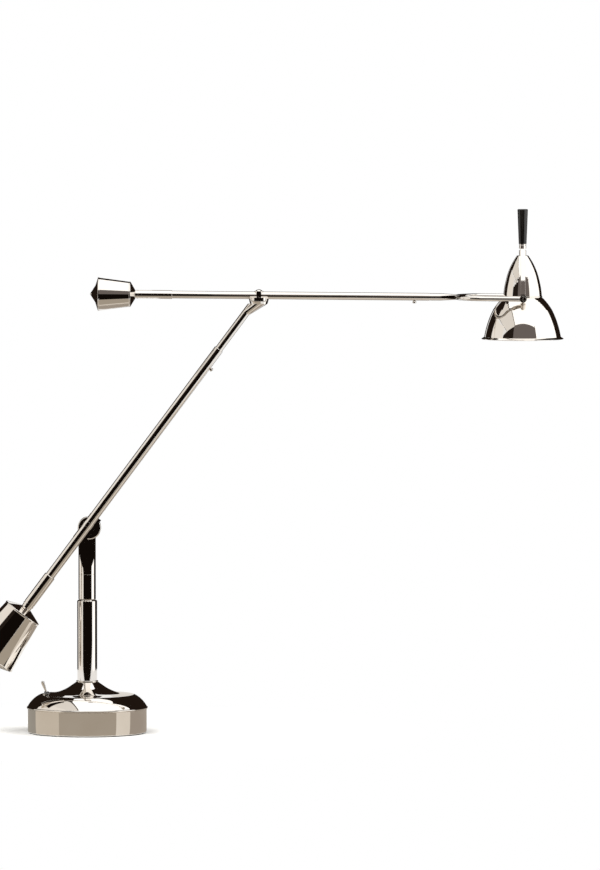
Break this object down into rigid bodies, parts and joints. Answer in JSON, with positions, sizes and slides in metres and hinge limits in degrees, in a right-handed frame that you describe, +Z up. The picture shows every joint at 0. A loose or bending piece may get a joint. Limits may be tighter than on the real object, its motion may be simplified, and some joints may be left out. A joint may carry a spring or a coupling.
{
  "type": "counterweight balance desk lamp",
  "caption": "Desk lamp with a weighted round base, a swivelling column, weighted balance arms and a bell shade held in a fork.",
  "frame": {"origin": "centre of the base's underside, where the felt pad meets the table", "axes": "+Z up along the column, +X from the column towards the shade, +Y to the back of the lamp"},
  "size_m": [0.7324, 0.1496, 0.6465],
  "materials": {
    "nickel": "polished nickel plate",
    "steel": "plain",
    "iron": "rough",
    "bronze": "satin",
    "screw_brass": "satin",
    "felt": "matte",
    "rubber": "satin",
    "insulator": "satin",
    "polymer": "satin",
    "lacquer": "black gloss lacquer",
    "glass": "frosted"
  },
  "bodies": {
    "base": {"felt_pad": "felt", "bottom_plate": "steel", "ballast": "iron", "bottom_screws": "steel", "base_band": "nickel", "base_cover": "nickel", "cord_inlet": "rubber", "terminal_block": "insulator", "switch_body": "insulator", "switch_nut": "nickel", "clamp_nut": "steel", "column_collar": "nickel", "column_tube": "nickel", "swivel_stop_screw": "steel", "lower_bush": "bronze", "upper_bush": "bronze"},
    "toggle": {"toggle_lever": "nickel"},
    "column": {"swivel_spindle": "steel", "spindle_nut": "steel", "thrust_washer": "polymer", "swivel_tube": "nickel", "shoulder_head": "nickel"},
    "lower_arm": {"arm_saddle": "nickel", "tilt_bolt": "steel", "tilt_washer": "steel", "tilt_nut": "nickel", "lower_sleeve": "nickel", "pivot_band": "nickel", "lower_end_sleeve": "nickel", "lower_weight_rod": "steel", "stem_screw": "nickel", "lower_weight_shell": "nickel", "lower_weight_core": "iron", "lower_weight_tip": "nickel"},
    "elbow": {"elbow_stem": "nickel", "elbow_set_screw": "steel"},
    "upper_arm": {"elbow_rotor": "nickel", "elbow_bolt": "nickel", "elbow_washer": "polymer", "upper_sleeve": "nickel", "upper_end_sleeve": "nickel", "upper_weight_rod": "steel", "fork_screw": "nickel", "upper_weight_shell": "nickel", "upper_weight_core": "iron", "upper_weight_tip": "nickel"},
    "fork": {"fork_stem": "nickel", "fork_prong_near": "nickel", "fork_prong_far": "nickel", "pivot_screws": "nickel"},
    "head": {"head_strap": "nickel", "upper_bell": "nickel", "lower_bell": "nickel", "neck_collar": "nickel", "ferrule": "nickel", "handle": "lacquer", "handle_stud": "steel", "lamp_holder": "insulator", "bulb_cap": "screw_brass", "bulb": "glass"}
  },
  "joints": [
    {"name": "column_swivel", "type": "hinge", "parent": "base", "child": "column", "pos_m": [0, 0, 0.1642], "axis": [0, 0, 1], "range_deg": [-160, 160]},
    {"name": "shoulder_tilt", "type": "hinge", "parent": "column", "child": "lower_arm", "pos_m": [0.0029, 0, 0.2534], "axis": [0, 1, 0], "range_deg": [-8, 45]},
    {"name": "elbow_roll", "type": "hinge", "parent": "lower_arm", "child": "elbow", "pos_m": [0.21179, -0.0145, 0.54056], "axis": [0.5969, 0, 0.8023], "range_deg": [-90, 90]},
    {"name": "elbow_swivel", "type": "hinge", "parent": "elbow", "child": "upper_arm", "pos_m": [0.21179, -0.0145, 0.54056], "axis": [0.0087, 0, 1], "range_deg": [-170, 170]},
    {"name": "fork_roll", "type": "hinge", "parent": "upper_arm", "child": "fork", "pos_m": [0.42178, -0.0145, 0.53872], "axis": [1, 0, -0.0087], "range_deg": [-90, 90]},
    {"name": "head_tilt", "type": "hinge", "parent": "fork", "child": "head", "pos_m": [0.53608, -0.0145, 0.53773], "axis": [0, 1, 0], "range_deg": [-75, 40]},
    {"name": "switch_toggle", "type": "hinge", "parent": "base", "child": "toggle", "pos_m": [-0.04997, -0.01246, 0.0501], "axis": [0, 1, 0], "range_deg": [0, 40]}
  ]
}
